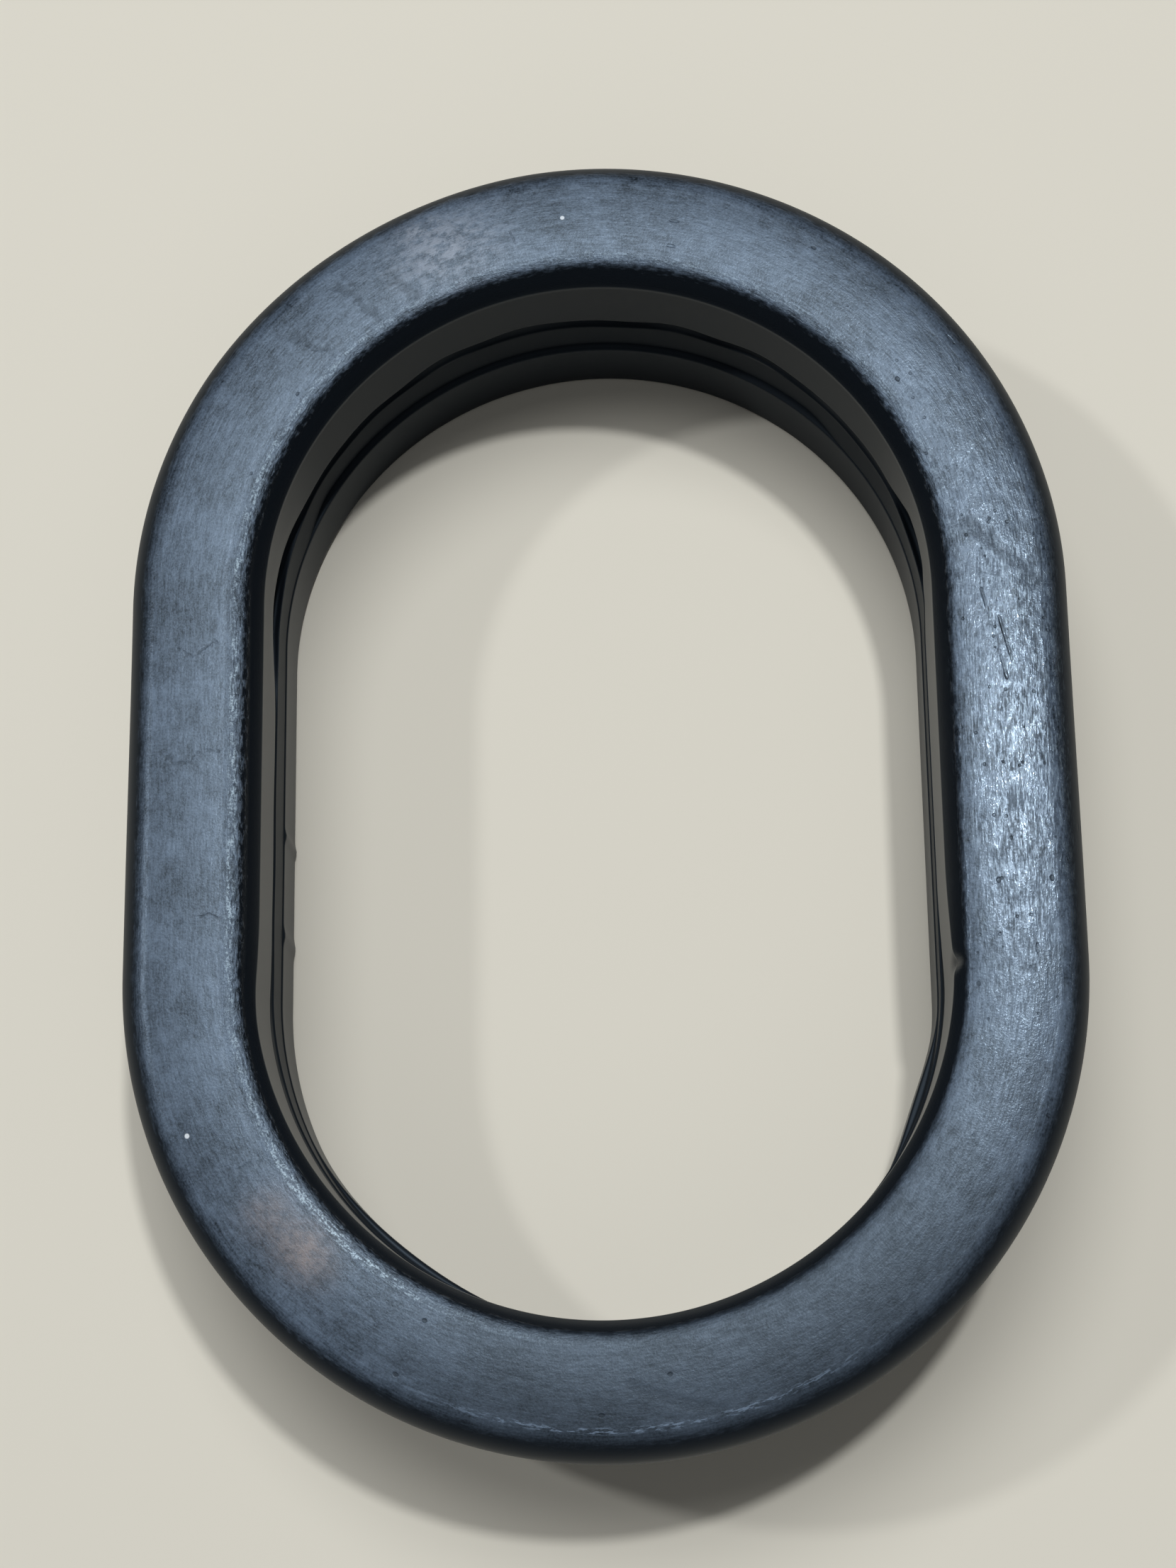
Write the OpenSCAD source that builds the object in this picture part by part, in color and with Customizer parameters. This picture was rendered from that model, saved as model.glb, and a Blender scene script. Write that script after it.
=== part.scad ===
// Obround rubber grommet, moulded in one piece.
// A thick top flange and a lower flange stand out round a neck, and the groove between
// them takes the edge of a panel. The hole through the middle passes cables or hoses.
// The section is drawn once, as radius from the obround's centre line against height,
// and swept round the two ends and along the two sides.
// Origin: middle of the base, on the surface that it rests on. +Z up, length along Y.

/* [Overall] */
// Length over the top flange
overall_l = 140; // [110:1:220]
// Width over the top flange
overall_w = 100; // [70:1:130]
// Height from the base to the top face
overall_h = 30; // [25:1:50]

/* [Top flange] */
// Width of the top flange, from the hole to its outer edge
flange_w = 14; // [12:0.5:20]
// Thickness of the top flange
flange_h = 13; // [9:0.5:17]
// Rounding of the top face into the outer edge
outer_round = 4; // [1:0.5:7]
// Rounding of the top face into the hole
inner_round = 2.5; // [0.5:0.5:5]
// Rounding of the outer edge into the underside
under_round = 2; // [0.5:0.5:4]

/* [Panel groove] */
// Height of the groove, which is the thickness of panel that it takes
groove_h = 7; // [3:0.5:12]
// Depth of the groove, in from the outer edge of the top flange
groove_depth = 8.5; // [5:0.5:11]
// Fillet at the two roots of the groove
root_fillet = 1; // [0.2:0.1:1.2]

/* [Lower flange] */
// How far the lower flange stands in from the outer edge of the top flange
lower_inset = 3; // [0:0.5:6]
// Lead-in rounding at the foot of the lower flange
lead_in = 4; // [1:0.5:8]
// Rounding of the lower flange into the groove
lower_round = 0.8; // [0.2:0.1:1.5]
// Rounding of the base into the hole
base_round = 0.8; // [0.2:0.1:1.5]

/* [Inner wall] */
// Depth of the shallow band sunk into the wall of the hole, behind the groove
band_depth = 0.6; // [0.2:0.1:1.5]
// How far the band runs past the groove, above and below
band_margin = 0.4; // [0:0.1:2]
// Rounding of the band's two edges
band_round = 0.3; // [0.1:0.1:0.6]

/* [Hidden] */
$fn = 96;
RUBBER = [0.085, 0.09, 0.1];

// Radii of the section, out from the obround's centre line
outer_r = overall_w / 2;
hole_r = outer_r - flange_w;
neck_r = outer_r - groove_depth;
lower_r = outer_r - lower_inset;
band_r = hole_r + band_depth;
// Length of the two straight sides
straight = overall_l - overall_w;
// Heights of the groove and of the band behind it
groove_top = overall_h - flange_h;
groove_base = groove_top - groove_h;
band_top = groove_top + band_margin;
band_base = groove_base - band_margin;
// The band's edges can't be rounder than the band is deep
band_edge = min(band_round, band_depth);
// Overlap of areas that are joined
lap = 0.5;

// Corner of an area: a square of side r in one corner of a rectangle of the given size.
// corner is [0, 0] at bottom left and [1, 1] at top right.
module corner_square(size, corner, r)
    translate([corner[0] * (size[0] - r), corner[1] * (size[1] - r)]) square(r);

// The quarter disc that is left of that square when the corner is rounded
module corner_disc(size, corner, r)
    intersection() {
        corner_square(size, corner, r);
        translate([corner[0] ? size[0] - r : r, corner[1] ? size[1] - r : r]) circle(r);
    }

// Rectangle from low to high with a radius for each corner, or 0 to leave it square.
// The radii go round from bottom left: bottom right, top right, top left.
module rounded_area(low, high, radii) {
    size = high - low;
    corners = [[0, 0], [1, 0], [1, 1], [0, 1]];
    rounded = [for (i = [0:3]) if (radii[i] > 0) i];
    translate(low) {
        difference() {
            square(size);
            for (i = rounded) corner_square(size, corners[i], radii[i]);
        }
        for (i = rounded) corner_disc(size, corners[i], radii[i]);
    }
}

// The area between a wall, a shelf and the arc of radius r that meets both, with the
// corner at the origin and the wall rising from it. side is 1 above the shelf, -1 below.
module fillet_area(r, side)
    difference() {
        translate([-lap, side > 0 ? -lap : -r]) square(r + lap);
        translate([r, side * r]) circle(r);
    }

module top_flange_area()
    rounded_area([hole_r, groove_top], [outer_r, overall_h],
                 [0, under_round, outer_round, inner_round]);

module neck_area()
    translate([hole_r, groove_base - lap]) square([neck_r - hole_r, groove_h + 2 * lap]);

module lower_flange_area()
    rounded_area([hole_r, 0], [lower_r, groove_base], [base_round, lead_in, lower_round, 0]);

// Shallow band sunk into the wall of the hole, with its two edges rounded off
module band_area() {
    translate([hole_r - lap, band_base]) square([band_depth + lap, band_top - band_base]);
    translate([hole_r, band_top]) fillet_area(band_edge, 1);
    translate([hole_r, band_base]) fillet_area(band_edge, -1);
}

// Section of the ring, on one side of the hole
module ring_section() {
    difference() {
        union() {
            top_flange_area();
            neck_area();
            lower_flange_area();
        }
        band_area();
    }
    translate([neck_r, groove_top]) fillet_area(root_fillet, -1);
    translate([neck_r, groove_base]) fillet_area(root_fillet, 1);
}

// Sweeps a section round an obround whose straight sides have the given length
module swept_round(side) {
    for (turn = [0, 180])
        rotate([0, 0, turn])
            translate([0, side / 2, 0]) {
                rotate_extrude(angle = 180) children();
                rotate([90, 0, 0]) linear_extrude(height = side) children();
            }
}

module grommet()
    color(RUBBER) swept_round(straight) ring_section();

grommet();
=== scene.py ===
"""Looks of an obround rubber grommet lying on a pale floor.

The rubber is one swept mesh: a section of lines and arcs is carried round the obround, and the
moulding's own faults are pressed into it, such as the wavy crease on the wall of the hole. Every
length is in metres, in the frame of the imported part: +Z up, length along Y, base at z = 0.
"""
import math

import bpy
import numpy as np
from mathutils import Matrix, Vector

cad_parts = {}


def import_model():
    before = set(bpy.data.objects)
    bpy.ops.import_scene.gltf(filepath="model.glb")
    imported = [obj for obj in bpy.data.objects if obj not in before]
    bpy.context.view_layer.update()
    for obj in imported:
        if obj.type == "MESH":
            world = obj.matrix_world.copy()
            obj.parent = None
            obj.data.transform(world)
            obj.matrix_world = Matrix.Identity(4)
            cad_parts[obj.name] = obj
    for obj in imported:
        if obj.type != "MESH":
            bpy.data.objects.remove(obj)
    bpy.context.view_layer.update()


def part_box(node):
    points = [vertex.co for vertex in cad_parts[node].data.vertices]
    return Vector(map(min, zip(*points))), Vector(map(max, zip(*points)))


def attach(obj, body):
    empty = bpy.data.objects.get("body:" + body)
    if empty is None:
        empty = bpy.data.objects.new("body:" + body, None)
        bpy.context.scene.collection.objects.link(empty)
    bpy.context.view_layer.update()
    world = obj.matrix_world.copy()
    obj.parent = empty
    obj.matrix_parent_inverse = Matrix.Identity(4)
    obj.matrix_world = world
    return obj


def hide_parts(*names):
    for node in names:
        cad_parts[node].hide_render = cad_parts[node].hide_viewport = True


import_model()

MM = 0.001

# ---------------------------------------------------------------- sizes
low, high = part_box("grommet")
OUTER_R = (high.x - low.x) / 2
HALF_SIDE = (high.y - low.y) / 2 - OUTER_R
TOP = high.z

FLANGE_W = 14 * MM
FLANGE_H = 13 * MM
GROOVE_H = 7 * MM
GROOVE_DEPTH = 8.5 * MM
LOWER_INSET = 3 * MM
OUTER_ROUND = np.array((3.2, 3.0)) * MM     # across and down: the rounding is not quite circular
EDGE_W = 1.6 * MM                           # the inner edge is a steep slope with two roundings
EDGE_ROUND = 0.6 * MM
EDGE_SLOPE = 142                            # the direction in which the slope faces, in degrees
EDGE_H = EDGE_ROUND + (EDGE_W - EDGE_ROUND) * math.tan(math.radians(EDGE_SLOPE - 90))
CROWN_PLACE = 7.2 * MM                      # the top is highest here, out from the hole
CROWN_BEND = 45 * MM                        # radius of its bend across the flange
ROLL_START = 2.7 * MM                       # nearer the hole than this, the top bends down faster
ROLL_BEND = 5 * MM                          # and this is the radius of that second bend
WALL_CROWN = 0.16                           # share of the top's bend that the hole's wall follows
UNDER_ROUND = 2 * MM
LEAD_IN = 4 * MM
ROOT_FILLET = 1 * MM
LOWER_ROUND = 0.8 * MM
BASE_ROUND = 0.8 * MM

HOLE_R = OUTER_R - FLANGE_W
NECK_R = OUTER_R - GROOVE_DEPTH
LOWER_R = OUTER_R - LOWER_INSET
GROOVE_TOP = TOP - FLANGE_H
GROOVE_BASE = GROOVE_TOP - GROOVE_H
FACE_IN = HOLE_R + EDGE_W
FACE_OUT = OUTER_R - OUTER_ROUND[0]
FACE_W_MM = (FACE_OUT - FACE_IN) / MM       # the material's lengths are in millimetres

# The wall of the hole, from its foot up: a proud band, a less proud one, a crease and the lip
FOOT_PROUD = 0.15 * MM
BAND_BASE = 9.6 * MM
BAND_TOP = 16.4 * MM
BAND_PROUD = 0.10 * MM
CREASE_DEPTH = 0.75 * MM
LIP_BASE = 19.0 * MM
LIP_ROUND = 2.0 * MM
LEDGE_ROUND = 0.2 * MM

# Faults of the moulding
POCKET_DROP = 0.9 * MM                      # the crease and the band run lower in the pockets
POCKET_ROOF = 1.6 * MM
POCKET_DEPTH = 0.8 * MM
SAG = 1.9 * MM                              # the band's top runs lower at the near right
UNDERCUT = 0.10                             # slope of the middle band at the far end
FOOT_BULGE = 0.8 * MM
FOOT_BUMP = 0.2 * MM
TIGHT_IN = 0.35 * MM                        # the upper wall stands in, and down, at the far end
TIGHT_DOWN = 0.8 * MM                       # and along the sides
NICK_DEPTH = 0.5 * MM

MIDDLE_R = (HOLE_R + OUTER_R) / 2
END_LENGTH = math.pi * MIDDLE_R
SIDE_LENGTH = 2 * HALF_SIDE
LENGTH = 2 * (END_LENGTH + SIDE_LENGTH)

STATIONS_PER_END = 340
STATIONS_PER_SIDE = 100

# ---------------------------------------------------------------- colours, lights and camera
BARE_RUBBER = (0.0055, 0.0075, 0.0105, 1)
# Blue-grey on top: partly a real film on the rubber and partly painted sheen of the lamps' reflection
BLOOM_AND_SHEEN = (0.116, 0.152, 0.208, 1)
# A painted highlight colour: the bright broken line on the torn edge and the glints on the worn side
PAINTED_GLINT = (0.34, 0.42, 0.48, 1)
DUST = (0.6, 0.62, 0.65, 1)
PALE_SCUFF = (0.215, 0.230, 0.270, 1)
BROWN_STAIN = (0.185, 0.150, 0.142, 1)
HIGHLIGHT_TINT = (0.68, 0.83, 1.0, 1)
FLOOR_COLOUR = (0.685, 0.635, 0.548, 1)
LAMP_COLOUR = (0.94, 0.98, 1.0)
WORLD_STRENGTH = 0.06

RUBBER_IOR = 1.38
RELIEF_DEPTH = 0.08 * MM
FACE_ROUGH = 0.34                           # the top is between these two where it isn't worn
FACE_SMOOTH = 0.27
EDGE_ROUGHNESS = 0.27
OUTER_WALL_ROUGHNESS = 0.50
HOLE_WALL_ROUGHNESS = 0.40
FLOOR_ROUGHNESS = 0.9

FLOOR_HALF = 3.0                            # half the length of its sides
SENSOR_MM = 36
FOCAL_LENGTH_MM = 62.078
CAMERA_PLACE = Vector((9.25, -70.14, 302.22)) * MM
CAMERA_TARGET = Vector((-1.67, 2.44, 15.0)) * MM
CAMERA_ROLL = -0.862                        # in degrees


# ---------------------------------------------------------------- section
def line(start, end, count):
    """Points from start up to, but not including, end, closer together near both."""
    t = np.linspace(0, 1, count, endpoint=False)[:, None]
    t = 0.5 - 0.5 * np.cos(math.pi * t)
    return np.array(start) * (1 - t) + np.array(end) * t


def arc(centre, radius, first, last, count):
    """Points on an arc from one angle up to, but not including, the other, in degrees."""
    t = np.radians(np.linspace(first, last, count, endpoint=False))
    return np.array(centre) + radius * np.stack([np.cos(t), np.sin(t)], 1)


def inner_wall():
    """The wall of the hole, from the base up to the top rounding, with its bands and crease."""
    foot = HOLE_R - FOOT_PROUD
    band = HOLE_R - BAND_PROUD
    bend = LEDGE_ROUND
    crease = (HOLE_R + CREASE_DEPTH, BAND_TOP + 0.7 * MM)
    return [
        arc((HOLE_R + BASE_ROUND, BASE_ROUND), BASE_ROUND, 270, 180, 4),
        line((HOLE_R, BASE_ROUND), (foot, BAND_BASE - bend), 8),
        arc((foot + bend, BAND_BASE - bend), bend, 180, 90, 3),
        line((foot + bend, BAND_BASE), (band + 0.1 * MM, BAND_BASE + 0.1 * MM), 1),
        line((band + 0.1 * MM, BAND_BASE + 0.1 * MM), (band, BAND_TOP - bend), 9),
        arc((band + bend, BAND_TOP - bend), bend, 180, 90, 3),
        line((band + bend, BAND_TOP), crease, 3),
        arc((HOLE_R + LIP_ROUND, LIP_BASE), LIP_ROUND, 230, 180, 7),
        line((HOLE_R, LIP_BASE), (HOLE_R, TOP - EDGE_H), 7),
    ]


def section():
    """The closed outline of the ring as radius and height, from the foot of the hole's wall."""
    lower = arc((HOLE_R + EDGE_ROUND, TOP - EDGE_H), EDGE_ROUND, 180, EDGE_SLOPE, 4)
    upper = arc((FACE_IN, TOP - EDGE_ROUND), EDGE_ROUND, EDGE_SLOPE, 90, 6)
    parts = inner_wall() + [
        lower,
        upper,
        line((FACE_IN, TOP), (FACE_OUT, TOP), 16),
        arc((FACE_OUT, TOP - OUTER_ROUND[1]), OUTER_ROUND, 90, 0, 10),
        line((OUTER_R, TOP - OUTER_ROUND[1]), (OUTER_R, GROOVE_TOP + UNDER_ROUND), 3),
        arc((OUTER_R - UNDER_ROUND, GROOVE_TOP + UNDER_ROUND), UNDER_ROUND, 0, -90, 4),
        line((OUTER_R - UNDER_ROUND, GROOVE_TOP), (NECK_R + ROOT_FILLET, GROOVE_TOP), 2),
        arc((NECK_R + ROOT_FILLET, GROOVE_TOP - ROOT_FILLET), ROOT_FILLET, 90, 180, 2),
        line((NECK_R, GROOVE_TOP - ROOT_FILLET), (NECK_R, GROOVE_BASE + ROOT_FILLET), 2),
        arc((NECK_R + ROOT_FILLET, GROOVE_BASE + ROOT_FILLET), ROOT_FILLET, 180, 270, 2),
        line((NECK_R + ROOT_FILLET, GROOVE_BASE), (LOWER_R - LOWER_ROUND, GROOVE_BASE), 2),
        arc((LOWER_R - LOWER_ROUND, GROOVE_BASE - LOWER_ROUND), LOWER_ROUND, 90, 0, 3),
        line((LOWER_R, GROOVE_BASE - LOWER_ROUND), (LOWER_R, LEAD_IN), 2),
        arc((LOWER_R - LEAD_IN, LEAD_IN), LEAD_IN, 0, -90, 4),
        line((LOWER_R - LEAD_IN, 0), (HOLE_R + BASE_ROUND, 0), 3),
    ]
    return np.concatenate(parts)


# ---------------------------------------------------------------- path
def path():
    """Stations round the obround, anticlockwise from the right: centre, direction, distance."""
    centres, normals, along = [], [], []
    travelled = 0.0
    for end in (1, -1):
        first = math.pi / 2 - end * math.pi / 2
        for i in range(STATIONS_PER_END):
            share = i / STATIONS_PER_END
            angle = first + share * math.pi
            centres.append((0, end * HALF_SIDE))
            normals.append((math.cos(angle), math.sin(angle)))
            along.append(travelled + share * END_LENGTH)
        travelled += END_LENGTH
        for i in range(STATIONS_PER_SIDE):
            share = i / STATIONS_PER_SIDE
            centres.append((0, end * (HALF_SIDE - share * SIDE_LENGTH)))
            normals.append((-end, 0))
            along.append(travelled + share * SIDE_LENGTH)
        travelled += SIDE_LENGTH
    return np.array(centres), np.array(normals), np.array(along)


def far_end(degrees):
    """Distance along the path of a direction from the far end's centre, from 0, right, to 180."""
    return END_LENGTH * degrees / 180


def near_end(degrees):
    """Distance along the path of a direction from the near end's centre, from -180 to 0, right."""
    return END_LENGTH + SIDE_LENGTH + END_LENGTH * (180 + degrees) / 180


def left_side(y):
    """Distance along the path of a place on the left side."""
    return END_LENGTH + HALF_SIDE - y


def right_side(y):
    """Distance along the path of a place on the right side."""
    return LENGTH - HALF_SIDE + y


# ---------------------------------------------------------------- shapes along the path
def gap(along, place):
    """Signed distance along the path from place, the shorter way round."""
    return (along - place + LENGTH / 2) % LENGTH - LENGTH / 2


def swell(along, start, end):
    """A smooth rise to 1 and fall back to 0 between two places along the path."""
    reach = ((end - start) % LENGTH) / 2
    share = np.clip(np.abs(gap(along, start + reach)) / reach, 0, 1)
    return (1 - share ** 2) ** 2


def plateau(along, start, end, fade):
    """1 between two places along the path, falling to 0 within a distance fade past them."""
    reach = ((end - start) % LENGTH) / 2
    return step(np.abs(gap(along, start + reach)), reach + fade, reach)


def wave(along, count, phase):
    """A sine with a whole number of waves round the path, so that it has no seam."""
    return np.sin(2 * math.pi * (count * along / LENGTH + phase))


def near(value, centre, reach):
    """1 where value is at centre, about a third a reach away, and almost 0 at twice that."""
    return np.exp(-((value - centre) / reach) ** 2)


def step(value, start, end):
    """0 before start, 1 after end, and smooth between them."""
    t = np.clip((value - start) / (end - start), 0, 1)
    return t * t * (3 - 2 * t)


# ---------------------------------------------------------------- the moulding's faults
def lip_wander(along):
    """How far the lower edge of the wall's upper part runs above its mean height."""
    wander = 0.34 * wave(along, 9, 0.1) + 0.26 * wave(along, 22, 0.6) + 0.2 * wave(along, 31, 0.3)
    return wander * (0.6 + 0.6 * swell(along, far_end(-20), far_end(200))) * MM


def band_wander(along):
    """How far the top of the middle band runs above its mean height."""
    return (0.12 * wave(along, 7, 0.4) + 0.10 * wave(along, 26, 0.9)) * MM


def wall_mask(radius, height):
    """1 on the wall of the hole and 0 on the rest of the section."""
    inside = step(radius, HOLE_R + 2.2 * MM, HOLE_R + 1.6 * MM)
    return inside * step(height, TOP - 4 * MM, TOP - 6 * MM)


def pockets(along):
    """Where the two deeper pockets are: at the right and at the left of the far end."""
    right = swell(along, far_end(3), far_end(26))
    left = swell(along, far_end(152), left_side(9 * MM))
    return right + 0.8 * left


def wall_rise(along, radius, height):
    """How far the lip, the band and the crease of the wall run above their mean heights."""
    pocket = pockets(along)
    low = plateau(along, near_end(-20), right_side(17 * MM), 5 * MM)
    lip = near(height, LIP_BASE - 1.2 * MM, 1.4 * MM)
    band = near(height, BAND_TOP, 1.6 * MM)
    crease = near(height, BAND_TOP + 0.8 * MM, 0.8 * MM)
    roof = near(height, BAND_TOP + 0.5 * MM, 0.8 * MM)
    roof = roof * np.clip((radius - HOLE_R + BAND_PROUD) / (0.7 * MM), 0, 1)
    rise = (1 - low) * (lip * lip_wander(along) + band * band_wander(along))
    rise = rise - ((crease + band) * POCKET_DROP + roof * POCKET_ROOF) * pocket
    return rise - near(height, BAND_TOP + 0.9 * MM, 2.4 * MM) * SAG * low


def wall_sink(along, height):
    """How far the wall is sunk: in the crease, the pockets and the far band, less the foot's bulge."""
    pocket = pockets(along)
    deep = plateau(along, far_end(55), far_end(172), 9 * MM)
    undercut = plateau(along, far_end(50), far_end(148), 9 * MM)
    crease = near(height, BAND_TOP + 0.8 * MM, 0.8 * MM)
    shelf = step(height, BAND_TOP - 4 * MM, BAND_TOP)
    shelf = shelf * step(height, BAND_TOP + 0.4 * MM, BAND_TOP)
    middle = step(height, BAND_TOP + 0.2 * MM, BAND_TOP - 0.2 * MM)
    middle = middle * step(height, BAND_BASE, BAND_BASE + 0.1 * MM)
    hollow = step(height, BAND_TOP + 0.5 * MM, LIP_BASE)
    hollow = hollow * step(height, LIP_BASE + 3 * MM, LIP_BASE - 1.5 * MM)
    sink = crease * (0.2 * pocket - 0.45 * np.clip(1 - deep - pocket, 0, 1)) * MM
    sink = sink + (hollow * POCKET_DEPTH - shelf * 0.1 * MM) * pocket
    return sink + middle * (BAND_TOP - height) * UNDERCUT * undercut - foot_bulge(along, height)


def foot_bulge(along, height):
    """How far the foot of the wall stands out into the hole: at the near end, and at two bumps."""
    foot = step(height, BAND_BASE + 0.3 * MM, BAND_BASE - 0.3 * MM)
    right = swell(along, near_end(-36), near_end(-4))
    left = swell(along, near_end(-156), near_end(-100))
    bumps = near(gap(along, left_side(-12.6 * MM)), 0, 0.8 * MM)
    bumps = bumps + near(gap(along, left_side(-1.3 * MM)), 0, 0.6 * MM)
    return foot * ((right + left) * FOOT_BULGE + bumps * FOOT_BUMP)


def press_wall(along, radius, height):
    """The faults of the hole's wall, as new radius and height."""
    wall = wall_mask(radius, height)
    tight = plateau(along, right_side(-10 * MM), left_side(-14 * MM), 14 * MM)
    tight = tight * step(radius, FACE_IN, HOLE_R + 0.1 * MM)
    tight = tight * step(height, BAND_TOP + 1 * MM, LIP_BASE)
    lower = tight * step(height, TOP - 9 * MM, TOP - 2 * MM)
    new_radius = radius + wall * wall_sink(along, height) - tight * TIGHT_IN
    new_height = height + wall * wall_rise(along, radius, height) - lower * TIGHT_DOWN
    return new_radius, new_height


def press_top(along, radius, height):
    """The top flange's crown, uneven edge and one small nick, as new radius and height."""
    outer = step(radius, NECK_R, OUTER_R) * step(height, GROOVE_TOP, TOP - 6 * MM)
    uneven = 0.03 + 0.02 * wave(along, 5, 0.2) + 0.01 * wave(along, 11, 0.7)
    flat = 0.25 * swell(along, far_end(95), far_end(150))
    radius = radius - outer * (uneven + flat) * MM

    face = step(radius, HOLE_R, FACE_IN)
    crown = step(height, TOP - 8 * MM, TOP - 4 * MM) * (WALL_CROWN + (1 - WALL_CROWN) * face)
    across = radius - HOLE_R
    drop = (across - CROWN_PLACE) ** 2 / (2 * CROWN_BEND)
    drop = drop + np.clip(ROLL_START - across, 0, None) ** 2 / (2 * ROLL_BEND)
    height = height - crown * drop

    nick = near(gap(along, near_end(-1)), 0, 0.9 * MM) * near(height, TOP - 2.2 * MM, 0.6 * MM)
    radius = radius + nick * step(radius, MIDDLE_R, HOLE_R) * NICK_DEPTH
    return radius, height


# ---------------------------------------------------------------- mesh
def ring_mesh():
    """The swept mesh with its faults, and its attributes for the material."""
    centres, normals, along = path()
    outline = section()
    across = np.concatenate([[0], np.cumsum(np.hypot(*np.diff(outline, axis=0).T))])
    face_start = np.argmin(np.hypot(outline[:, 0] - FACE_IN, outline[:, 1] - TOP))
    across = across - across[face_start]

    stations, points = len(along), len(outline)
    s = np.repeat(along, points)
    radius = np.tile(outline[:, 0], stations)
    height = np.tile(outline[:, 1], stations)
    radius, height = press_wall(s, radius, height)
    radius, height = press_top(s, radius, height)

    centre = np.repeat(centres, points, axis=0)
    normal = np.repeat(normals, points, axis=0)
    places = np.column_stack([centre + normal * radius[:, None], height])

    mesh = bpy.data.meshes.new("rubber_ring")
    mesh.from_pydata(places.tolist(), [], ring_faces(stations, points))
    mesh.shade_smooth()
    turn = 2 * math.pi * s / LENGTH
    loop = LENGTH / (2 * math.pi)
    flow = np.column_stack([loop * np.cos(turn), loop * np.sin(turn), np.tile(across, stations)])
    store(mesh, "flow", flow / MM)
    for name, mask in masks(s, radius, height).items():
        store(mesh, name, mask)
    return mesh


def ring_faces(stations, points):
    """Quads that join each station's outline to the next one's, all round."""
    faces = []
    for i in range(stations):
        here = i * points
        there = (i + 1) % stations * points
        for j in range(points):
            k = (j + 1) % points
            faces.append((here + j, here + k, there + k, there + j))
    return faces


def store(mesh, name, values):
    """Keeps one number or one vector for each vertex, for the material to read."""
    kind = "FLOAT" if values.ndim == 1 else "FLOAT_VECTOR"
    field = "value" if values.ndim == 1 else "vector"
    layer = mesh.attributes.new(name, kind, "POINT")
    layer.data.foreach_set(field, values.astype(np.float32).ravel())


def masks(s, radius, height):
    """Where the rubber's finish differs, by name, for each vertex.

    On the wall, dull is its middle band and matt its far end. On the inner edge, torn is where it
    is torn, with a painted highlight line along it, and rim where that line is brightest and
    smoothest.
    On the outer edge, chipped is its near end. On the top, worn is the rubbed right side and glint the
    middle of that, where painted glints go; the near-end mask marks where the blue-grey is
    thinner, partly a real thinner coat and partly painted shade; stain and pale are two patches.
    """
    top = step(height, TOP - 2 * MM, TOP - 0.3 * MM)
    stain = 1.2 * spot(s, radius, near_end(-136.5), 41.6 * MM, 3.2 * MM, 2.3 * MM)
    stain = stain + 0.6 * spot(s, radius, near_end(-144), 42.0 * MM, 2.2 * MM, 2.4 * MM)
    pale = spot(s, radius, far_end(112), 42.3 * MM, 6.0 * MM, 3.6 * MM)
    pale = pale + 0.7 * spot(s, radius, far_end(114), 46.0 * MM, 1.8 * MM, 0.9 * MM)
    inside = step(radius, MIDDLE_R, HOLE_R + 2 * MM)
    middle = step(height, BAND_BASE, BAND_BASE + 0.2 * MM)
    middle = middle * step(height, BAND_TOP + 0.2 * MM, BAND_TOP)
    far_torn = 0.35 * plateau(s, far_end(15), far_end(150), 20 * MM)
    return {
        "dull": middle * inside,
        "matt": inside * plateau(s, far_end(35), far_end(145), 20 * MM),
        "torn": np.maximum(swell(s, far_end(60), near_end(-70)), far_torn),
        "worn": top * swell(s, near_end(-50), far_end(75)),
        # Where the painted highlight on the torn edge is brightest, and the edge smoothest
        "rim": swell(s, near_end(-158), near_end(-108)),
        # Where painted glints go: the middle of the worn side, under the lamp's highlight
        "glint": top * spot(s, radius, right_side(5 * MM), 43.6 * MM, 25 * MM, 3.6 * MM),
        # Near end: the blue-grey is thinner here, partly a real thinner coat and partly painted shade
        "thin_bloom_and_shade": plateau(s, near_end(-98), near_end(-52), 30 * MM),
        "stain": top * stain,
        "pale": top * pale,
        "chipped": swell(s, near_end(-125), near_end(-45)),
    }


def spot(s, radius, place, middle, along, across):
    """A soft oval round a place on the path, at a radius."""
    return np.exp(-(gap(s, place) / along) ** 2 - ((radius - middle) / across) ** 2)


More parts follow.
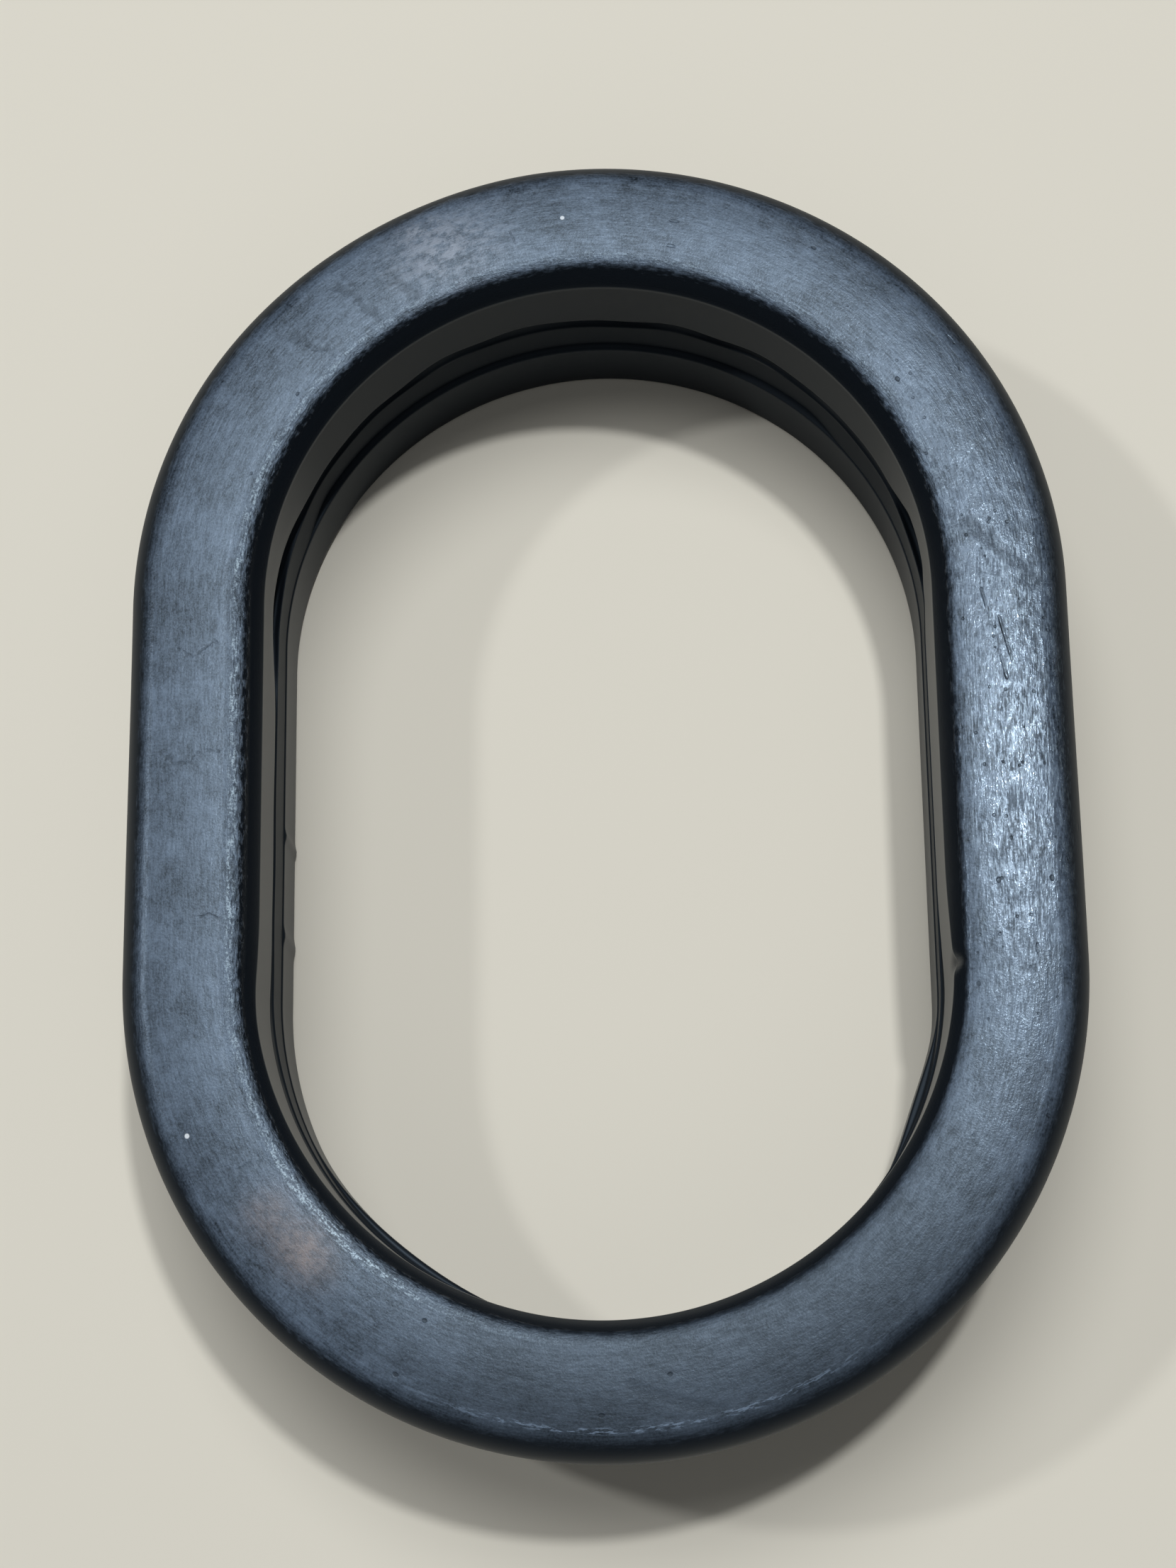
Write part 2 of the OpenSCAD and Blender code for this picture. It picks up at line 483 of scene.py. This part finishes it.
# ---------------------------------------------------------------- material helpers
class Tree:
    """A short way to write a material's nodes."""

    def __init__(self, name):
        self.material = bpy.data.materials.new(name)
        self.material.use_nodes = True
        self.nodes = self.material.node_tree.nodes
        self.links = self.material.node_tree.links
        self.nodes.clear()

    def add(self, kind, inputs=None, **settings):
        """A node with its settings, and its inputs by name or number."""
        node = self.nodes.new("ShaderNode" + kind)
        for name, value in settings.items():
            setattr(node, name, value)
        for key, value in (inputs or {}).items():
            if isinstance(value, bpy.types.NodeSocket):
                self.links.new(value, node.inputs[key])
            else:
                node.inputs[key].default_value = value
        return node

    def mask(self, name):
        """One of the mesh's masks."""
        return self.add("Attribute", attribute_name=name).outputs["Fac"]

    def vector_math(self, operation, a, b):
        """A node that works on two vectors."""
        return self.add("VectorMath", {0: a, 1: b}, operation=operation)

    def scaled(self, vector, factor):
        """A vector times a number."""
        inputs = {0: vector, "Scale": factor}
        return self.add("VectorMath", inputs, operation="SCALE").outputs[0]

    def math(self, operation, a, b):
        """The result of a sum or a product of two numbers."""
        return self.add("Math", {0: a, 1: b}, operation=operation).outputs[0]

    def times(self, first, *rest):
        """The product of two or more numbers."""
        for value in rest:
            first = self.math("MULTIPLY", first, value)
        return first

    def add_up(self, first, *rest):
        """The sum of two or more numbers."""
        for value in rest:
            first = self.math("ADD", first, value)
        return first

    def mix(self, factor, a, b):
        """Colour a where factor is 0, b where it is 1."""
        inputs = {"Factor": factor, 6: a, 7: b}
        return self.add("Mix", inputs, data_type="RGBA").outputs[2]

    def mix_value(self, factor, a, b):
        """Number a where factor is 0, b where it is 1."""
        return self.add("Mix", {"Factor": factor, 2: a, 3: b}).outputs[0]

    def remap(self, value, start, end, low=0.0, high=1.0):
        """value between start and end, as low to high, smoothly and no further."""
        inputs = {"Value": value, 1: start, 2: end, 3: low, 4: high}
        made = self.add("MapRange", inputs, interpolation_type="SMOOTHSTEP")
        return made.outputs[0]

    def noise(self, vector, scale, detail, roughness):
        """A noise pattern, about 0.5 on average."""
        inputs = {"Vector": vector, "Scale": scale, "Detail": detail, "Roughness": roughness}
        return self.add("TexNoise", inputs).outputs["Fac"]

    def stretch(self, vector, along, across):
        """flow coordinates scaled by along the path and by across it."""
        inputs = {"Vector": vector, "Scale": (along, along, across)}
        return self.add("Mapping", inputs).outputs[0]


def face_mask(t, across, hairs, mottle):
    """1 on the top face and 0 past its uneven edges, the inner one most uneven where it is torn."""
    ragged = t.times(t.add_up(hairs, -0.6), t.add_up(t.times(t.mask("torn"), 2.4), 0.8))
    inner = t.remap(t.add_up(across, ragged), -0.75, 0.15)
    uneven = t.add_up(t.times(t.add_up(mottle, -0.5), 1.6), t.times(t.add_up(hairs, -0.5), 1.8))
    outer = t.remap(t.add_up(across, uneven), FACE_W_MM + 2.0, FACE_W_MM + 0.4)
    return t.times(inner, outer)


def torn_edge_highlight(t, across, hairs):
    """A painted highlight: a broken bright line along the torn stretch of the inner edge."""
    rise = t.remap(across, 0.1, 0.6)
    fall = t.remap(across, 1.5, 0.9)
    broken = t.remap(hairs, 0.44, 0.56)
    return t.times(rise, fall, broken, t.mask("torn"))


def chipped_line(t, across, hairs):
    """A broken light line along the outer edge of the near end."""
    rise = t.remap(across, FACE_W_MM - 0.5, FACE_W_MM - 0.1)
    fall = t.remap(across, FACE_W_MM + 0.5, FACE_W_MM + 0.1)
    broken = t.remap(hairs, 0.5, 0.62)
    return t.times(rise, fall, t.times(broken, t.mask("chipped")))


def on_top(along, radius):
    """A place on the top, in flow coordinates."""
    turn = 2 * math.pi * along / LENGTH
    loop = LENGTH / (2 * math.pi)
    return Vector((loop * math.cos(turn), loop * math.sin(turn), radius - FACE_IN)) / MM


def mark(t, flow, start, end, width):
    """1 on the line between two places on the top, falling to 0 a width away, in millimetres."""
    line = end - start
    from_start = t.vector_math("SUBTRACT", flow, start).outputs[0]
    share = t.vector_math("DOT_PRODUCT", from_start, line).outputs["Value"]
    inputs = {0: share, 1: 1 / line.length_squared}
    share = t.add("Math", inputs, operation="MULTIPLY", use_clamp=True).outputs[0]
    away = t.vector_math("DISTANCE", from_start, t.scaled(line, share)).outputs["Value"]
    return t.remap(away, width, width * 0.2)


def bent(t, flow, reach):
    """flow coordinates pushed about at random, so that marks on them are not quite straight."""
    push = t.add("TexNoise", {"Vector": flow, "Scale": 0.45, "Detail": 2.0}).outputs["Color"]
    push = t.vector_math("SUBTRACT", push, (0.5, 0.5, 0.5)).outputs[0]
    return t.vector_math("ADD", flow, t.scaled(push, 2 * reach)).outputs[0]


def crossing(t, flow, along, inner, outer, width):
    """A slightly slanted mark across the top at a place on the path. Radii and width are in mm."""
    slant = 1.5 * MM
    start = on_top(along, inner * MM)
    end = on_top(along + slant, outer * MM)
    return mark(t, flow, start, end, width)


def scratches(t, flow, mottle):
    """Dark marks on the top: bent ones, hairline cracks, a smear and a rubbed line."""
    wavy = bent(t, flow, 1.6)
    bends = t.add_up(
        crossing(t, wavy, far_end(135.5), 39.6, 44.4, 0.9),
        crossing(t, wavy, far_end(126), 38.6, 45.2, 1.0),
        crossing(t, wavy, far_end(119), 39.0, 42.0, 0.8),
        crossing(t, wavy, near_end(-151), 40.4, 44.2, 0.7),
    )
    cracks = t.add_up(
        crossing(t, wavy, far_end(101.5), 40.5, 45.5, 0.35),
        crossing(t, wavy, left_side(3.5 * MM), 39.6, 45.8, 0.35),
        crossing(t, wavy, left_side(-14 * MM), 39.5, 45.0, 0.30),
        crossing(t, wavy, left_side(15 * MM), 40.5, 46.0, 0.35),
    )
    smear_start = on_top(far_end(-0.8), 46.6 * MM)
    smear_end = on_top(far_end(8.8), 40.0 * MM)
    smear = mark(t, bent(t, flow, 0.5), smear_start, smear_end, 1.3)
    rubbed = mark(t, flow, on_top(near_end(-76), 46.4 * MM), on_top(near_end(-87), 42.6 * MM), 0.9)
    patchy = t.remap(mottle, 0.35, 0.6, 0.2, 0.75)
    broad = t.times(t.add_up(smear, t.times(rubbed, 0.7)), patchy)
    return t.add_up(t.times(bends, 0.5), t.times(cracks, 0.45), broad)


def scrapes(t, flow):
    """Two thin scraped lines on the right of the top."""
    long_start = on_top(right_side(18.8 * MM), 40.6 * MM)
    long_end = on_top(right_side(9.0 * MM), 42.8 * MM)
    short_start = on_top(right_side(15.7 * MM), 42.3 * MM)
    short_end = on_top(right_side(11.0 * MM), 43.4 * MM)
    long_one = mark(t, flow, long_start, long_end, 0.26)
    short_one = mark(t, flow, short_start, short_end, 0.24)
    return t.add_up(long_one, short_one)


def speck(t, flow, place, size):
    """1 in a small round spot on the top."""
    away = t.vector_math("DISTANCE", flow, place).outputs["Value"]
    return t.remap(away, size, size * 0.6)


def dots(t, flow, along, across, share, size):
    """A scatter of small spots: one in this share of the cells, its size as a part of a cell."""
    cells = t.add("TexVoronoi", {"Vector": t.stretch(flow, along, across), "Scale": 1.0})
    draw = t.add("SeparateXYZ", {0: cells.outputs["Color"]}).outputs["X"]
    chosen = t.remap(draw, 1 - share, 1.01 - share)
    return t.times(chosen, t.remap(cells.outputs["Distance"], size, size * 0.5))


def rubber():
    """Black rubber: hazy blue-grey and worn on top, the blue-grey partly a real film and partly
    painted sheen, with painted highlights; bare on its roundings and on its wall.
    """
    t = Tree("rubber")
    flow = t.add("Attribute", attribute_name="flow").outputs["Vector"]
    across = t.add("SeparateXYZ", {0: flow}).outputs["Z"]
    grains = Grains(t, flow)
    face = face_mask(t, across, grains.hairs, grains.mottle)
    # A painted highlight line along the torn inner edge; the roughness is also lowered along it
    torn = torn_edge_highlight(t, across, grains.hairs)
    marks = scratches(t, flow, grains.mottle)
    scraped = scrapes(t, flow)
    pits = t.times(pitting(t, flow), face)
    dark = t.add_up(marks, t.times(scraped, 0.85), pits)
    bump = t.add("Bump", {
        "Height": relief(t, flow, across, grains, face, t.add_up(marks, scraped, pits)),
        "Strength": 1.0,
        "Distance": RELIEF_DEPTH,
    })
    shader = t.add("BsdfPrincipled", {
        "Base Color": rubber_colour(t, flow, across, grains, face, torn, dark),
        "Roughness": roughness(t, across, grains, face, torn, t.add_up(marks, pits)),
        "Normal": bump.outputs[0],
        "IOR": RUBBER_IOR,
        "Specular Tint": HIGHLIGHT_TINT,
    })
    t.add("OutputMaterial", {"Surface": shader.outputs[0]})
    return t.material


class Grains:
    """The noise patterns that the colour, the roughness and the relief share.

    streaks, hairs and fibres are drawn out along the ring, from broad to thin. blotches, mottle
    and grain are about as long as they are wide, from coarse to fine. hollows are broad and smooth.
    """

    def __init__(self, t, flow):
        self.streaks = t.noise(t.stretch(flow, 0.30, 1.9), 1.0, 4.0, 0.6)
        self.hairs = t.noise(t.stretch(flow, 0.9, 4.2), 1.0, 3.0, 0.65)
        self.fibres = t.noise(t.stretch(flow, 0.40, 6.0), 1.0, 2.0, 0.6)
        self.blotches = t.noise(flow, 0.16, 3.0, 0.55)
        self.mottle = t.noise(t.stretch(flow, 0.8, 1.1), 1.0, 5.0, 0.7)
        self.grain = t.noise(flow, 4.5, 2.0, 0.6)
        self.hollows = t.noise(t.stretch(flow, 0.28, 0.50), 1.0, 2.0, 0.5)


def pitting(t, flow):
    """Small dark pits: a few everywhere, and more where the top is worn."""
    few = dots(t, flow, 0.30, 0.42, 0.16, 0.12)
    more = dots(t, flow, 0.9, 1.0, 0.25, 0.21)
    return t.add_up(few, t.times(more, t.mask("worn")))


def bloom_and_sheen(t, across, grains, face):
    """How thick the blue-grey coat is: uneven on top, thin on the sides, a chipped line between.

    The coat is partly a real film and partly painted sheen, the lamps' reflection put into the
    colour. It is thinned at the near end, partly as painted shade, and lit up in streaks as a painted
    glint.
    """
    haze_and_sheen = t.add_up(
        t.remap(grains.blotches, 0.3, 0.7, 0.32, 0.68),
        t.remap(grains.mottle, 0.3, 0.7, -0.15, 0.15),
        t.remap(grains.streaks, 0.3, 0.7, -0.08, 0.08),
        t.remap(grains.grain, 0.3, 0.7, -0.16, 0.16),
        t.remap(grains.hairs, 0.35, 0.65, -0.05, 0.05),
        t.remap(grains.fibres, 0.36, 0.64, -0.10, 0.10),
    )
    rubbed = t.remap(grains.hairs, 0.38, 0.62, -0.10, 0.12)
    haze_and_sheen = t.add_up(haze_and_sheen, t.times(t.mask("worn"), rubbed))
    # Painted shade: the blue-grey is thinned at the near end, which darkens it; partly a real thinner
    # coat
    haze_and_sheen = t.times(haze_and_sheen, t.add_up(1.0, t.times(t.mask("thin_bloom_and_shade"), -0.58)))
    # Painted glint: lighter streaks in the blue-grey where the lamp's highlight falls
    bright = t.remap(grains.hairs, 0.43, 0.62, -0.10, 0.40)
    haze_and_sheen = t.add_up(haze_and_sheen, t.times(t.mask("glint"), bright))
    outside = t.remap(across, FACE_W_MM + 4.0, FACE_W_MM + 6.0)
    haze_and_sheen = t.times(haze_and_sheen, t.add_up(face, t.times(outside, 0.35)))
    return t.add_up(haze_and_sheen, chipped_line(t, across, grains.hairs))


def painted_highlights(t, grains, torn):
    """Painted highlights: a broken bright line along the torn edge, and glints on the worn side."""
    patchy = t.times(
        t.remap(grains.grain, 0.40, 0.60, 0.05, 1.6),
        t.remap(grains.streaks, 0.40, 0.55, 0.2, 1.2),
    )
    # Painted highlight along the torn edge, brightest where the rim mask is
    edge = t.times(torn, patchy, t.add_up(t.times(t.mask("rim"), 1.3), 0.42))
    # Painted glints: flecks of the bright highlight colour in the same place
    glints = t.times(t.mask("glint"), t.remap(grains.hairs, 0.52, 0.64, 0.0, 0.65))
    return t.add_up(edge, glints)


def rubber_colour(t, flow, across, grains, face, torn, dark):
    """Bare black rubber under its blue-grey coat of real film and painted sheen, with painted
    highlights, a pale scuff, a brown stain, dark marks and dust.
    """
    # Painted sheen: the blue-grey coat, partly a real film, laid over bare rubber
    colour = t.mix(bloom_and_sheen(t, across, grains, face), BARE_RUBBER, BLOOM_AND_SHEEN)
    # Painted highlights: the torn edge's bright line and the worn side's glints
    colour = t.mix(painted_highlights(t, grains, torn), colour, PAINTED_GLINT)
    pale = t.times(t.mask("pale"), face, t.remap(grains.mottle, 0.40, 0.62, 0.1, 0.9))
    stain = t.times(t.mask("stain"), face, t.remap(grains.mottle, 0.35, 0.6, 0.45, 1.0))
    colour = t.mix(pale, colour, PALE_SCUFF)
    colour = t.mix(stain, colour, BROWN_STAIN)
    colour = t.mix(t.times(dark, 0.75), colour, BARE_RUBBER)
    far_speck = speck(t, flow, on_top(far_end(94), 42.9 * MM), 0.28)
    near_speck = speck(t, flow, on_top(near_end(-158), 45.6 * MM), 0.30)
    return t.mix(t.add_up(far_speck, near_speck), colour, DUST)


def roughness(t, across, grains, face, torn, marked):
    """Satin on top, polished in streaks where it is worn, smooth on the edges, dull on the walls."""
    worn = t.mask("worn")
    sharp = t.add_up(
        t.times(grains.hairs, 0.3),
        t.times(grains.fibres, 0.3),
        t.times(grains.mottle, 0.2),
        t.times(grains.grain, 0.2),
    )
    top = t.remap(sharp, 0.42, 0.58, FACE_ROUGH, FACE_SMOOTH)
    top = t.add_up(top, t.times(worn, t.remap(sharp, 0.45, 0.55, 0.0, -0.17)))
    top = t.add_up(top, t.times(worn, t.remap(grains.hollows, 0.40, 0.60, 0.06, -0.07)))
    top = t.add_up(top, t.times(torn, t.mask("rim"), -0.10), t.times(t.mask("thin_bloom_and_shade"), 0.07))
    inner_wall = t.remap(across, -EDGE_H / MM, -EDGE_H / MM - 1.2)
    outer_wall = t.remap(across, FACE_W_MM + 0.8, FACE_W_MM + 2.4)
    sides = t.mix_value(outer_wall, EDGE_ROUGHNESS, OUTER_WALL_ROUGHNESS)
    sides = t.mix_value(inner_wall, sides, HOLE_WALL_ROUGHNESS)
    duller = t.times(t.mask("dull"), 0.22)
    sides = t.add_up(sides, duller, t.times(inner_wall, t.mask("matt"), 0.20))
    return t.add_up(t.mix_value(face, sides, top), t.times(marked, 0.12))


def relief(t, flow, across, grains, face, sunk):
    """The height of the fine relief: drawn out along the ring where it is worn, even elsewhere."""
    lined = t.add_up(
        t.times(grains.fibres, 0.27),
        t.times(grains.hairs, 0.26),
        t.times(grains.hollows, 1.3),
    )
    even = t.add_up(
        t.times(grains.mottle, 0.36),
        t.times(grains.streaks, 0.10),
        t.times(grains.hairs, 0.10),
    )
    height = t.add_up(t.mix_value(t.mask("worn"), even, lined), t.times(grains.grain, 0.20))
    outside = t.remap(across, FACE_W_MM + 3.0, FACE_W_MM + 5.0)
    height = t.times(height, t.add_up(t.times(face, 0.9), t.times(outside, 0.5), 0.1))
    rim = t.times(t.remap(across, -1.0, -0.2), t.remap(across, 1.8, 0.6), t.mask("torn"))
    rough_rim = t.add_up(t.times(grains.mottle, 1.1), t.times(grains.hairs, 0.8))
    flecks = dots(t, flow, 0.14, 0.40, 0.10, 0.10)
    return t.add_up(height, t.times(rim, rough_rim), t.times(t.add_up(sunk, flecks), -0.5))


def plain(name, colour, roughness):
    """A material of one colour, for the floor."""
    t = Tree(name)
    shader = t.add("BsdfPrincipled", {"Base Color": colour, "Roughness": roughness})
    t.add("OutputMaterial", {"Surface": shader.outputs[0]})
    return t.material


# ---------------------------------------------------------------- stage
def floor():
    """A plain pale floor."""
    corners = [(x * FLOOR_HALF, y * FLOOR_HALF, 0) for x, y in ((-1, -1), (1, -1), (1, 1), (-1, 1))]
    mesh = bpy.data.meshes.new("floor")
    mesh.from_pydata(corners, [], [(0, 1, 2, 3)])
    mesh.materials.append(plain("floor", FLOOR_COLOUR, FLOOR_ROUGHNESS))
    made = bpy.data.objects.new("floor", mesh)
    bpy.context.scene.collection.objects.link(made)


def softbox(name, direction, half_angle, distance, share):
    """A round lamp that faces the object.

    half_angle is the angle from its middle to its rim as the object sees it, in degrees, and share
    is how bright it alone would make a white floor.
    """
    away = Vector(direction).normalized()
    lamp = bpy.data.lights.new(name, "AREA")
    lamp.shape = "DISK"
    lamp.size = 2 * distance * math.tan(math.radians(half_angle))
    lamp.energy = share * (math.pi * distance) ** 2 / away.z
    lamp.color = LAMP_COLOUR
    made = bpy.data.objects.new(name, lamp)
    made.location = away * distance
    made.rotation_euler = away.to_track_quat("Z", "Y").to_euler()
    bpy.context.scene.collection.objects.link(made)


def camera():
    """The camera at the photograph's viewing angle."""
    lens = bpy.data.cameras.new("camera")
    lens.sensor_width = SENSOR_MM
    lens.lens = FOCAL_LENGTH_MM
    made = bpy.data.objects.new("camera", lens)
    back = (CAMERA_PLACE - CAMERA_TARGET).normalized()
    side = Vector((0, 1, 0)).cross(back).normalized()
    turn = Matrix((side, back.cross(side), back)).transposed()
    turn = turn @ Matrix.Rotation(math.radians(CAMERA_ROLL), 3, "Z")
    made.matrix_world = Matrix.Translation(CAMERA_PLACE) @ turn.to_4x4()
    bpy.context.scene.collection.objects.link(made)
    bpy.context.scene.camera = made


def world(colour, strength):
    """Even light from all round."""
    made = bpy.data.worlds.new("world")
    made.use_nodes = True
    background = made.node_tree.nodes["Background"]
    background.inputs["Color"].default_value = colour
    background.inputs["Strength"].default_value = strength
    bpy.context.scene.world = made


# ---------------------------------------------------------------- the scene
ring = bpy.data.objects.new("rubber_ring", ring_mesh())
ring.data.materials.append(rubber())
bpy.context.scene.collection.objects.link(ring)
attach(ring, "root")
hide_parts("grommet")

floor()
softbox("ceiling", (-0.08, 0.31, 0.95), half_angle=14, distance=1.2, share=0.41)
softbox("key", (0.150, 0.236, 0.960), half_angle=1.6, distance=1.6, share=0.38)
softbox("left", (-0.60, 0.17, 0.78), half_angle=1.8, distance=1.8, share=0.14)
softbox("near", (0.05, -0.45, 0.89), half_angle=25, distance=1.2, share=0.08)
world((*LAMP_COLOUR, 1), WORLD_STRENGTH)
camera()
bpy.context.scene.view_settings.view_transform = "Standard"
